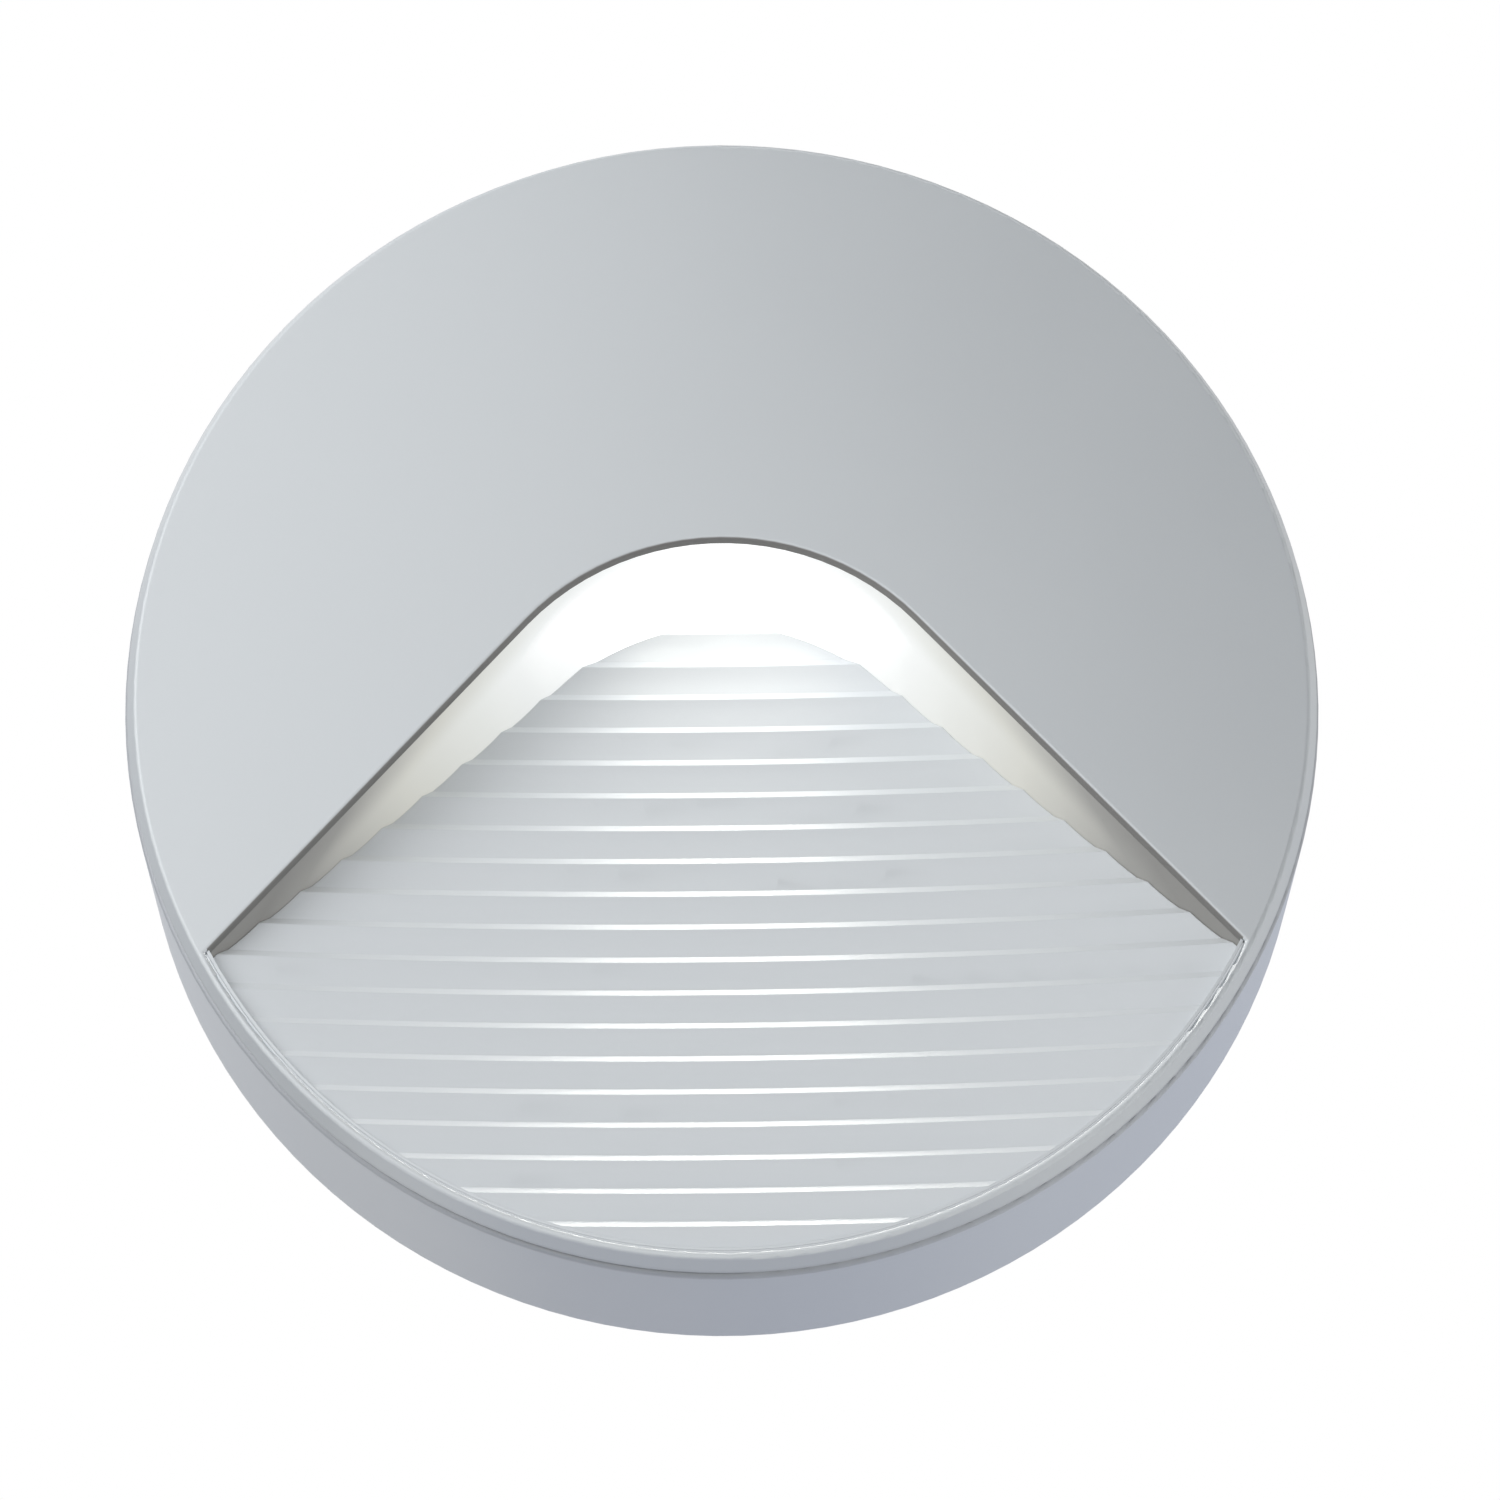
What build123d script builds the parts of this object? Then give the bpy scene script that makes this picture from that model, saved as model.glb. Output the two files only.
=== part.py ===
from build123d import *
import math
import os

# The light hangs on a wall at y = 0, its front looks towards minus y, and z is up.
# All sizes are in millimetres.

# Round shell
front_radius = 110.0
rim_inset = 1.7
rim_depth = 5.2
side_taper = 3.2
total_depth = 50.0
edge_radius = 0.8
joint_gap = 0.8
joint_radius = 1.0
face_thickness = 3.0

# Scoop opening in the face
lip_width = 1.55
arch_top = 31.7
arch_radius = 49.35
leg_angle = 46.9
wall_draft = 21.8
mouth_radius = 0.9
seat_thickness = 1.5
seat_ledge = 0.15
flange_width = 5.0
flange_thickness = 2.5

# Stepped ramp and diffuser
ramp_step = 0.3
ramp_slope = 0.18
ramp_thickness = 3.7
dish_radius = 540.0
rib_pitch = 6.8
crest_height = 14.0
riser_height = 1.36
riser_depth = 1.1
tread_hollow = 0.2
scoop_wall = 2.6
rim_wall = 0.6
lip_reach = 4.0
lip_thickness = 2.0
seal_width = 2.0
clamp_rise = 6.0
clamp_width = 8.0
clamp_thickness = 1.5
clamp_foot = 1.8
clamp_angle = 40.0
clamp_run = 44.4

# Base plate and housing ring on the wall, and the tongues that hold the cover in them
plate_thickness = 3.0
housing_wall = 2.6
gasket_inset = 1.5
gasket_width = 1.0
tongue_width = 18.0
tongue_thickness = 3.0
tongue_length = 16.0
tongue_gap = 0.8
grub_reach = 10.0
post_height = 4.0
post_radius = 4.0
slot_spacing = 116.0
slot_radius = 2.5
slot_length = 12.0

# Clearances
body_gap = 0.3
seam_gap = 0.15
screw_gap = 0.05
turn_gap = 0.06
tip_gap = 0.12
clamp_gap = 0.2
gasket_gap = 0.05
floor_gap = 1.0
post_gap = 0.8
key_gap = 0.15
over = 1.0

# Fasteners
screw_radius = 1.5
head_radius = 2.8
head_height = 1.8
recess_width = 0.7
recess_depth = 0.9
clear_hole = 1.75
screw_length = 6.0
board_screw_length = 3.6
earth_screw_length = 5.0
key_radius = 0.85
key_depth = 1.4

# LED board and bracket
led_gap = 10.0
board_width = 60.0
board_depth = 18.0
board_thickness = 1.6
board_setback = 1.0
board_reach = 13.0
chip_size = 2.8
chip_height = 0.8
chip_pitch = 9.6
chip_row_gap = 10.0
chips_in_row = 6
pad_length = 3.0
pad_width = 2.6
pad_height = 0.4
pad_pitch = 5.0
pad_inset = 0.5
bracket_margin = 4.0
bracket_thickness = 2.0
bracket_drop = 12.0
bracket_bend = 1.0
bracket_post_inset = 9.5
board_screw_inset = 4.0
board_screw_clear = 3.6

# Driver
row_gap = 3.0
driver_length = 36.0
driver_height = 20.0
driver_depth = 18.0
driver_rounding = 1.5
lid_thickness = 2.0
lid_chamfer = 0.6
ear_length = 6.0
ear_width = 8.0
ear_thickness = 2.5
ear_hole = 3.3

# Terminal block
block_width = 30.0
block_height = 20.0
block_depth = 14.0
block_rounding = 0.8
block_ear = 7.5
block_ear_height = 7.0
block_ear_hole = 4.0
port_radius = 1.6
port_depth = 5.0
port_height = 3.5
pole_pitch = 9.2
lever_width = 6.6
lever_length = 13.0
lever_thickness = 2.0
lever_inset = 3.4
hub_wall = 0.8
grip_radius = 0.7
grip_inset = 1.0
pin_radius = 1.0
pin_cover = 1.0
pin_reach = 0.7
pin_hole_reach = 0.9

# Cable entry and leads
entry_radius = 4.0
entry_wall = 3.5
entry_step = 0.5
collar_width = 2.5
collar_thickness = 2.0
cone_length = 5.0
cone_step = 1.5
cone_tip = 1.6
lead_radius = 0.9
bend_radius = 3.0
lead_height = 7.0
lead_pitch = 5.0
lane_rise = 6.0
lane_pitch = 3.2
mains_inset = 5.0
drop_gap = 4.0
pad_overlap = 2.0
earth_run = 17.0
earth_drop = 7.0
earth_height = 2.6
tag_thickness = 0.8
tag_width = 3.6
tag_reach = 8.0
barrel_length = 5.0
barrel_wall = 0.8
barrel_foot = 2.0

# Values that follow from the sizes above
front_y = -total_depth
rim_back_y = front_y + rim_depth
joint_y = rim_back_y + joint_gap
face_y = front_y + face_thickness
seat_y = front_y + seat_thickness
ramp_front_y = front_y + ramp_step
face_radius = front_radius - rim_inset
rear_radius = front_radius - side_taper
side_slope = side_taper / abs(joint_y)
opening_radius = face_radius - lip_width
seat_radius = opening_radius + seat_ledge
flange_radius = seat_radius - body_gap
rim_radius = flange_radius - rim_wall
inside_front = front_radius - housing_wall
inside_rear = rear_radius - housing_wall
draft_rate = math.tan(math.radians(wall_draft))
leg_sin = math.sin(math.radians(leg_angle))
leg_cos = math.cos(math.radians(leg_angle))
arch_centre = arch_top - arch_radius
plate_y = -plate_thickness
post_y = plate_y - post_height
deep_y = plate_y - floor_gap
tongue_end_y = face_y + tongue_length
tongue_room = inside_front - side_slope * (tongue_end_y - joint_y) - tongue_gap
tongue_outside = math.sqrt(tongue_room**2 - (tongue_width / 2) ** 2)
tongue_inside = tongue_outside - tongue_thickness
grub_y = face_y + grub_reach
far = front_radius * 1.6


def block(x0, x1, y0, y1, z0, z1):
    """A box between two corners."""
    middle = ((x0 + x1) / 2, (y0 + y1) / 2, (z0 + z1) / 2)
    return Pos(*middle) * Box(abs(x1 - x0), abs(y1 - y0), abs(z1 - z0))


def rod(x, z, radius, y0, y1):
    """A round bar along y."""
    return Pos(x, (y0 + y1) / 2, z) * Rot(90, 0, 0) * Cylinder(radius, abs(y1 - y0))


def cross_rod(y, z, radius, x0, x1):
    """A round bar along x."""
    return Pos((x0 + x1) / 2, y, z) * Rot(0, 90, 0) * Cylinder(radius, abs(x1 - x0))


def ring(inner, outer, y0, y1):
    """A flat ring about the light's own axis."""
    return rod(0, 0, outer, y0, y1) - rod(0, 0, inner, min(y0, y1) - over, max(y0, y1) + over)


def scoop_face(grow, y):
    """The scoop's outline at one depth, grown outwards, run out past the rim below."""
    radius = arch_radius + grow
    side_x = radius * leg_sin
    side_z = arch_centre + radius * leg_cos
    end_x = side_x + far * leg_cos
    end_z = side_z - far * leg_sin
    low_z = end_z - far * 0.2
    top = (0, y, arch_centre + radius)
    arc = ThreePointArc((-side_x, y, side_z), top, (side_x, y, side_z))
    right = Line((side_x, y, side_z), (end_x, y, end_z))
    right_end = Line((end_x, y, end_z), (end_x, y, low_z))
    bottom = Line((end_x, y, low_z), (-end_x, y, low_z))
    left_end = Line((-end_x, y, low_z), (-end_x, y, end_z))
    left = Line((-end_x, y, end_z), (-side_x, y, side_z))
    return Face(Wire([arc, right, right_end, bottom, left_end, left]))


def scoop_prism(grow, y0, y1):
    """The scoop's outline with straight sides."""
    return extrude(scoop_face(grow, y0), abs(y1 - y0), dir=(0, math.copysign(1, y1 - y0), 0))


def scoop_taper(grow, y0, y1):
    """The scoop's outline closing in with depth; grow is counted at the front face."""
    near = scoop_face(grow - (y0 - front_y) * draft_rate, y0)
    deep = scoop_face(grow - (y1 - front_y) * draft_rate, y1)
    return loft([near, deep], ruled=True)


def ramp_y(z):
    """Depth of the rib crests on the middle line."""
    return ramp_front_y + ramp_slope * (z + rim_radius)


def before_ramp(line):
    """The room in front of a ramp line of joined edges, swung about the far upright axis."""
    front = front_y - total_depth
    start = line[0] @ 0
    end = line[-1] @ 1
    low = Line((0, front, start.Z), start)
    high = Line(end, (0, front, end.Z))
    back = Line((0, front, end.Z), (0, front, start.Z))
    profile = Face(Wire([low, *line, high, back]))
    axis = Axis((0, ramp_front_y - dish_radius, 0), (0, 0, 1))
    swing = 2.4 * math.degrees(math.asin(front_radius / dish_radius))
    return revolve(profile, axis, swing).rotate(axis, -swing / 2)


def pan_screw(length, radius=screw_radius, head=head_radius):
    """A pan head screw, shank down from the origin."""
    shank = Pos(0, 0, -length / 2) * Cylinder(radius, length)
    cap = Pos(0, 0, head_height / 2) * Cylinder(head, head_height)
    cap = fillet(cap.edges().group_by(Axis.Z)[-1], head_height * 0.45)
    arm = head * 1.1
    height = head_height - recess_depth / 2
    slot = Pos(0, 0, height) * Box(arm, recess_width, recess_depth)
    slot += Pos(0, 0, height) * Box(recess_width, arm, recess_depth)
    return shank + cap - slot


def lead(points, radius=lead_radius, bend=bend_radius):
    """A round wire along straight runs and bends, with its volume compared."""
    path = FilletPolyline(*points, radius=bend)
    start = Plane(origin=path @ 0, z_dir=path % 0)
    wire = sweep(start * Circle(radius), path=path)
    expected = math.pi * radius**2 * path.length
    share = wire.volume / expected
    print("lead length", round(path.length, 2), "bend", bend, "volume share", round(share, 4))
    return wire


def beside_scoop(place, reach):
    """A point on the hood beside the scoop: place is an arc angle or a run down the leg."""
    kind, amount, side = place
    if kind == "arc":
        normal = (math.sin(math.radians(amount)), math.cos(math.radians(amount)))
        x = (arch_radius + reach) * normal[0]
        z = arch_centre + (arch_radius + reach) * normal[1]
    else:
        normal = (leg_sin, leg_cos)
        x = (arch_radius + reach) * leg_sin + amount * leg_cos
        z = arch_centre + (arch_radius + reach) * leg_cos - amount * leg_sin
    return side * x, z, side * normal[0], normal[1]


pieces = {}

# Front cover
shell_line = Polyline(
    (0, front_y), (face_radius, front_y), (front_radius, rim_back_y), (0, rim_back_y), close=True
)
shell_face = make_face(shell_line)
face_corner = shell_face.vertices().sort_by_distance((face_radius, front_y, 0))[0]
shell_face = fillet(face_corner, edge_radius)
rim_corner = shell_face.vertices().sort_by_distance((front_radius, rim_back_y, 0))[0]
shell_face = fillet(rim_corner, joint_radius)
front_cover = revolve(shell_face, Axis.Y)
front_cover -= rod(0, 0, seat_radius, rim_back_y + over, face_y)
seat_room = scoop_prism(flange_width + body_gap, face_y + over, seat_y)
front_cover -= seat_room & rod(0, 0, seat_radius, face_y + over, seat_y)
mouth = scoop_taper(0, front_y - over, face_y + over)
front_cover -= mouth & rod(0, 0, opening_radius, front_y - over, face_y + over)


def on_mouth(edge):
    """Whether an edge belongs to the front edge of the scoop opening."""
    box = edge.bounding_box()
    flat = abs(box.min.Y - front_y) < 1e-4 and abs(box.max.Y - front_y) < 1e-4
    middle = edge.position_at(0.5)
    return flat and math.hypot(middle.X, middle.Z) < opening_radius + body_gap


mouth_edges = [edge for edge in front_cover.edges() if on_mouth(edge)]
print("mouth edges", len(mouth_edges))
front_cover = fillet(mouth_edges, mouth_radius)

clamp_reach = flange_width + 2 * body_gap + post_radius + clamp_thickness
clamp_places = [
    ("arc", clamp_angle, 1),
    ("arc", clamp_angle, -1),
    ("leg", clamp_run, 1),
    ("leg", clamp_run, -1),
]
for place in clamp_places:
    post_x, post_z, normal_x, normal_z = beside_scoop(place, clamp_reach)
    post_top = face_y + clamp_rise
    front_cover += rod(post_x, post_z, post_radius, face_y - over, post_top)
    front_cover -= rod(post_x, post_z, screw_radius + screw_gap, face_y, post_top + over)
for side in (-1, 1):
    front_cover += block(
        side * tongue_inside,
        side * tongue_outside,
        face_y - over,
        tongue_end_y,
        -tongue_width / 2,
        tongue_width / 2,
    )
pieces["front_cover"] = front_cover

# Stepped ramp, painted like the cover, almost level with the lip
steps_below = math.ceil((crest_height + front_radius) / rib_pitch)
steps_above = math.ceil((front_radius - crest_height) / rib_pitch)
back_low = crest_height - rib_pitch * (steps_below + 1)
back_high = crest_height + rib_pitch * (steps_above + 2)
rib_line = []
for number in range(-steps_below, steps_above + 1):
    crest_z = crest_height + rib_pitch * number
    next_z = crest_z + rib_pitch
    ledge_z = crest_z + riser_height
    crest = (0, ramp_y(crest_z), crest_z)
    ledge = (0, ramp_y(crest_z) + riser_depth, ledge_z)
    next_crest = (0, ramp_y(next_z), next_z)
    hollow_y = (ledge[1] + next_crest[1]) / 2 + tread_hollow
    hollow = (0, hollow_y, (ledge_z + next_z) / 2)
    rib_line.append(Line(crest, ledge))
    rib_line.append(ThreePointArc(ledge, hollow, next_crest))


def smooth_line(thickness):
    """A ramp line without steps, behind the crests."""
    low = (0, ramp_y(back_low) + thickness, back_low)
    high = (0, ramp_y(back_high) + thickness, back_high)
    return [Line(low, high)]


ramp = scoop_taper(-seam_gap, ramp_front_y, deep_y)
ramp &= rod(0, 0, flange_radius, ramp_front_y, deep_y)
ramp &= before_ramp(smooth_line(ramp_thickness))
ramp -= before_ramp(rib_line) & rod(0, 0, rim_radius, front_y, deep_y)
pieces["stepped_ramp"] = ramp

# Opal diffuser, the sloping wall of the scoop with a flange and a lip under the ramp
flange_back_y = seat_y + flange_thickness
flange = scoop_prism(flange_width, seat_y, flange_back_y)
flange &= rod(0, 0, flange_radius, seat_y, flange_back_y)
scoop_wall_body = scoop_taper(scoop_wall, seat_y, deep_y)
scoop_wall_body &= rod(0, 0, flange_radius, seat_y, deep_y)
scoop_wall_body &= before_ramp(smooth_line(ramp_thickness + lip_thickness))
light_room = scoop_taper(0, front_y, deep_y) & before_ramp(smooth_line(ramp_thickness))
open_room = scoop_taper(-lip_reach, front_y, deep_y)
diffuser = flange + scoop_wall_body - light_room - open_room
diffuser -= scoop_taper(0, front_y, deep_y) - rod(0, 0, rim_radius - lip_reach, front_y, deep_y)
pieces["diffuser"] = diffuser

# Silicone seal behind the flange and the ramp's rim
seal_back_y = flange_back_y + seal_width
seal = scoop_prism(flange_width, flange_back_y, seal_back_y)
seal &= rod(0, 0, flange_radius, flange_back_y, seal_back_y)
seal_room = scoop_prism(flange_width - seal_width, flange_back_y, seal_back_y)
seal_room &= rod(0, 0, flange_radius - seal_width, flange_back_y, seal_back_y)
seal = seal - seal_room - diffuser - ramp
seal_runs = [run for run in seal.solids() if run.volume > 8 * seal_width**3]
print("seal runs", [round(run.volume, 1) for run in seal.solids()])
pieces["diffuser_seal"] = Compound(children=seal_runs)

# Clamps that hold the flange
clamps = []
clamp_screws = []
for place in clamp_places:
    post_x, post_z, normal_x, normal_z = beside_scoop(place, clamp_reach)
    edge_x, edge_z, normal_x, normal_z = beside_scoop(place, 0)
    frame = Plane(
        origin=(edge_x, face_y, edge_z), x_dir=(normal_x, 0, normal_z), z_dir=(0, 1, 0)
    )
    toe = flange_width - seal_width - clamp_foot - clamp_gap
    heel = clamp_reach + post_radius
    foot_seat = flange_back_y - face_y
    foot_rise = clamp_rise - foot_seat
    bridge_middle = ((toe + heel) / 2, 0, clamp_rise + clamp_thickness / 2)
    bridge = Pos(*bridge_middle) * Box(heel - toe, clamp_width, clamp_thickness)
    foot_middle = (toe + clamp_foot / 2, 0, foot_seat + foot_rise / 2)
    foot = Pos(*foot_middle) * Box(clamp_foot, clamp_width, foot_rise)
    hole = Pos(clamp_reach, 0, clamp_rise) * Cylinder(clear_hole, 4 * clamp_thickness)
    clamps.append(frame * (bridge + foot - hole))
    head_seat = Pos(post_x, face_y + clamp_rise + clamp_thickness, post_z)
    clamp_screws.append(head_seat * Rot(-90, 0, 0) * pan_screw(screw_length))
pieces["diffuser_clamps"] = Compound(children=clamps)
pieces["clamp_screws"] = Compound(children=clamp_screws)

# Places in the housing, from the LED board outwards
board_low = arch_top + led_gap
board_high = board_low + board_thickness
bracket_width = board_width + 2 * bracket_margin
bracket_high = board_high + bracket_thickness
bracket_low = board_high - bracket_drop
bracket_post_x = bracket_width / 2 - bracket_post_inset
bracket_post_z = bracket_low + post_radius + over
row_low = bracket_high + row_gap
entry_hole = entry_radius + entry_wall
collar_radius = entry_hole + collar_width
beside_entry = collar_radius + post_radius + post_gap
ear_x = driver_length / 2 + ear_hole
driver_x = -beside_entry - ear_x
driver_z = row_low + driver_height / 2
entry_z = driver_z
block_post_x = block_width / 2 + block_ear_hole
block_x = beside_entry + block_post_x
block_z = row_low + block_height / 2
block_post_z = row_low + block_ear_height / 2
earth_x = block_x + block_width / 2 + earth_run
earth_z = row_low - earth_drop
posts = [
    (-bracket_post_x, bracket_post_z),
    (bracket_post_x, bracket_post_z),
    (driver_x - ear_x, driver_z),
    (driver_x + ear_x, driver_z),
    (block_x - block_post_x, block_post_z),
    (block_x + block_post_x, block_post_z),
    (earth_x, earth_z),
]

# Base plate with its posts, wall slots and cable hole
plate = rod(0, 0, inside_rear, 0, plate_y)
for post_x, post_z in posts:
    plate += rod(post_x, post_z, post_radius, plate_y / 2, post_y)
for post_x, post_z in posts:
    plate -= rod(post_x, post_z, screw_radius + screw_gap, plate_y / 3, post_y - over)
plate -= rod(0, entry_z, entry_hole, over, plate_y - over)
slot_shape = SlotOverall(slot_length, slot_radius * 2)
for side in (-1, 1):
    spot = Plane(origin=(side * slot_spacing / 2, over, 0), x_dir=(1, 0, 0), z_dir=(0, -1, 0))
    plate -= extrude(spot * slot_shape, plate_thickness + 2 * over)
pieces["base_plate"] = plate

# Housing ring round the plate, painted like the cover
ring_line = Polyline(
    (inside_rear, 0),
    (rear_radius, 0),
    (front_radius, joint_y),
    (inside_front, joint_y),
    (inside_rear, plate_y),
    close=True,
)
ring_face = make_face(ring_line)
joint_corner = ring_face.vertices().sort_by_distance((front_radius, joint_y, 0))[0]
ring_face = fillet(joint_corner, joint_radius)
housing = revolve(ring_face, Axis.Y)
for side in (-1, 1):
    hole_start = side * tongue_outside
    hole_end = side * (front_radius + over)
    housing -= cross_rod(grub_y, 0, screw_radius + turn_gap, hole_start, hole_end)
pieces["housing_ring"] = housing

# Seal in the joint between the housing ring and the cover's rim
gasket_outside = front_radius - gasket_inset
gasket_front = rim_back_y + gasket_gap
pieces["joint_gasket"] = ring(gasket_outside - gasket_width, gasket_outside, joint_y, gasket_front)

# Grub screws in the housing ring, against the cover's tongues
for name, side in (("grub_screw_left", -1), ("grub_screw_right", 1)):
    tip = tongue_outside + tip_gap
    end = front_radius - side_slope * (grub_y - joint_y) - key_gap
    grub = cross_rod(grub_y, 0, screw_radius, side * tip, side * end)
    key_shape = extrude(RegularPolygon(key_radius, 6), key_depth, both=True)
    pieces[name] = grub - Pos(side * end, grub_y, 0) * Rot(0, 90, 0) * key_shape

# Bracket that carries the LED board and takes its heat
bracket_x = bracket_width / 2
bracket_back = post_y
bracket_face = bracket_back - bracket_thickness
bracket_front = bracket_face - board_reach - board_depth - board_setback
led_bracket = block(-bracket_x, bracket_x, bracket_back, bracket_face, bracket_low, bracket_high)
led_bracket += block(-bracket_x, bracket_x, bracket_back, bracket_front, board_high, bracket_high)
bend_edges = led_bracket.edges().filter_by(Axis.X)
inner_bend = bend_edges.sort_by_distance((0, bracket_face, board_high))[0]
led_bracket = fillet(inner_bend, bracket_bend)
bracket_screws = []
for side in (-1, 1):
    spot_x = side * bracket_post_x
    led_bracket -= rod(spot_x, bracket_post_z, clear_hole, bracket_back + over, bracket_face - over)
    head_seat = Pos(spot_x, bracket_face, bracket_post_z)
    bracket_screws.append(head_seat * Rot(90, 0, 0) * pan_screw(screw_length))
pieces["bracket_screws"] = Compound(children=bracket_screws)

# LED board with its solder pads and chips, facing down
board_front = bracket_front + board_setback
board_back = board_front + board_depth
board_middle = (board_front + board_back) / 2
board_x = board_width / 2
led_board = block(-board_x, board_x, board_back, board_front, board_low, board_high)
pad_low = board_low - pad_height
pad_start = -board_x + pad_inset
pad_end = pad_start + pad_length
pad_places = (board_middle - pad_pitch / 2, board_middle + pad_pitch / 2)
for pad_y in pad_places:
    pad_near = pad_y - pad_width / 2
    led_board += block(pad_start, pad_end, pad_near, pad_near + pad_width, pad_low, board_low)
screw_spots = (pad_end + board_screw_clear + clear_hole, board_x - board_screw_inset)
board_screws = []
for spot_x in screw_spots:
    led_board -= Pos(spot_x, board_middle, board_low) * Cylinder(clear_hole, 3 * board_thickness)
    thread = Cylinder(screw_radius + screw_gap, 3 * bracket_thickness)
    led_bracket -= Pos(spot_x, board_middle, bracket_high) * thread
    head_seat = Pos(spot_x, board_middle, board_low)
    board_screws.append(head_seat * Rot(180, 0, 0) * pan_screw(board_screw_length))
pieces["led_bracket"] = led_bracket
pieces["led_board"] = led_board
pieces["board_screws"] = Compound(children=board_screws)
chips = []
chip_z = board_low - chip_height / 2
for row_y in (board_middle - chip_row_gap / 2, board_middle + chip_row_gap / 2):
    for number in range(chips_in_row):
        chip_x = chip_pitch * (number - (chips_in_row - 1) / 2)
        chips.append(Pos(chip_x, row_y, chip_z) * Box(chip_size, chip_size, chip_height))
pieces["led_chips"] = Compound(children=chips)

# Driver
driver_back = post_y
driver_front = driver_back - driver_depth
lid_back = driver_front + lid_thickness
ear_front = driver_back - ear_thickness
driver_left = driver_x - driver_length / 2
driver_right = driver_x + driver_length / 2
driver_low = driver_z - driver_height / 2
driver_top = driver_z + driver_height / 2
case = block(driver_left, driver_right, driver_back, lid_back, driver_low, driver_top)
case = fillet(case.edges().filter_by(Axis.Y), driver_rounding)
ear_low = driver_z - ear_width / 2
ear_high = driver_z + ear_width / 2
case += block(
    driver_left - ear_length, driver_left + over, driver_back, ear_front, ear_low, ear_high
)
case += block(
    driver_right - over, driver_right + ear_length, driver_back, ear_front, ear_low, ear_high
)
driver_screws = []
for spot_x in (driver_x - ear_x, driver_x + ear_x):
    case -= rod(spot_x, driver_z, clear_hole, driver_back + over, ear_front - over)
    head_seat = Pos(spot_x, ear_front, driver_z)
    driver_screws.append(head_seat * Rot(90, 0, 0) * pan_screw(screw_length))
pieces["driver_case"] = case
lid = block(driver_left, driver_right, lid_back, driver_front, driver_low, driver_top)
lid = fillet(lid.edges().filter_by(Axis.Y), driver_rounding)
lid = chamfer(lid.faces().sort_by(Axis.Y)[0].edges(), lid_chamfer)
pieces["driver_lid"] = lid
pieces["driver_screws"] = Compound(children=driver_screws)

# Terminal block
block_back = post_y
block_front = block_back - block_depth
block_foot = block_back - ear_thickness
block_left = block_x - block_width / 2
block_right = block_x + block_width / 2
block_low = block_z - block_height / 2
block_top = block_z + block_height / 2
ear_top = block_low + block_ear_height
terminal = block(block_left, block_right, block_back, block_front, block_low, block_top)
terminal = fillet(terminal.edges().filter_by(Axis.Y), block_rounding)
terminal += block(
    block_left - block_ear, block_left + over, block_back, block_foot, block_low, ear_top
)
terminal += block(
    block_right - over, block_right + block_ear, block_back, block_foot, block_low, ear_top
)
terminal_screws = []
for spot_x in (block_x - block_post_x, block_x + block_post_x):
    terminal -= rod(spot_x, block_post_z, clear_hole, block_back + over, block_foot - over)
    head_seat = Pos(spot_x, block_foot, block_post_z)
    terminal_screws.append(head_seat * Rot(90, 0, 0) * pan_screw(screw_length))

# Levers on pins in the terminal block's pockets
pivot_y = block_front + pin_radius + pin_cover
pivot_z = block_top - lever_inset
pocket = lever_width + 2 * body_gap
hub_radius = pin_radius + hub_wall
arm_end = pivot_z - lever_length + body_gap + pin_cover
grip_y = pivot_y - lever_thickness / 2
levers = []
for number in (-1, 0, 1):
    pole_x = block_x + number * pole_pitch
    terminal -= block(
        pole_x - pocket / 2,
        pole_x + pocket / 2,
        block_front - over,
        pivot_y + pin_radius + pin_cover,
        pivot_z - lever_length,
        block_top + over,
    )
    hole_reach = pocket / 2 + pin_hole_reach
    pin_half = pocket / 2 + pin_reach
    lever_half = lever_width / 2
    hole_size = pin_radius + turn_gap
    terminal -= cross_rod(pivot_y, pivot_z, hole_size, pole_x - hole_reach, pole_x + hole_reach)
    port_z = block_low + port_height
    terminal -= rod(pole_x, port_z, port_radius, block_front - over, block_front + port_depth)
    lever = cross_rod(pivot_y, pivot_z, hub_radius, pole_x - lever_half, pole_x + lever_half)
    lever += block(
        pole_x - lever_half,
        pole_x + lever_half,
        grip_y,
        grip_y + lever_thickness,
        arm_end,
        pivot_z,
    )
    grip_z = arm_end + grip_inset
    lever += cross_rod(grip_y, grip_z, grip_radius, pole_x - lever_half, pole_x + lever_half)
    lever += cross_rod(pivot_y, pivot_z, pin_radius, pole_x - pin_half, pole_x + pin_half)
    levers.append(lever)
pieces["terminal_block"] = terminal
pieces["terminal_screws"] = Compound(children=terminal_screws)
for name, shape in zip(("lever_live", "lever_earth", "lever_neutral"), levers):
    pieces[name] = shape

# Cable entry grommet
collar_y = plate_y - collar_thickness
cone_y = collar_y - cone_length
grommet = rod(0, entry_z, entry_hole - screw_gap, -entry_step, plate_y)
grommet += rod(0, entry_z, collar_radius, plate_y, collar_y)
cone = Cone(collar_radius - cone_step, entry_radius + cone_tip, cone_length)
grommet += Pos(0, (collar_y + cone_y) / 2, entry_z) * Rot(90, 0, 0) * cone
grommet -= rod(0, entry_z, entry_radius, over, cone_y - over)
pieces["cable_grommet"] = grommet

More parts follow.
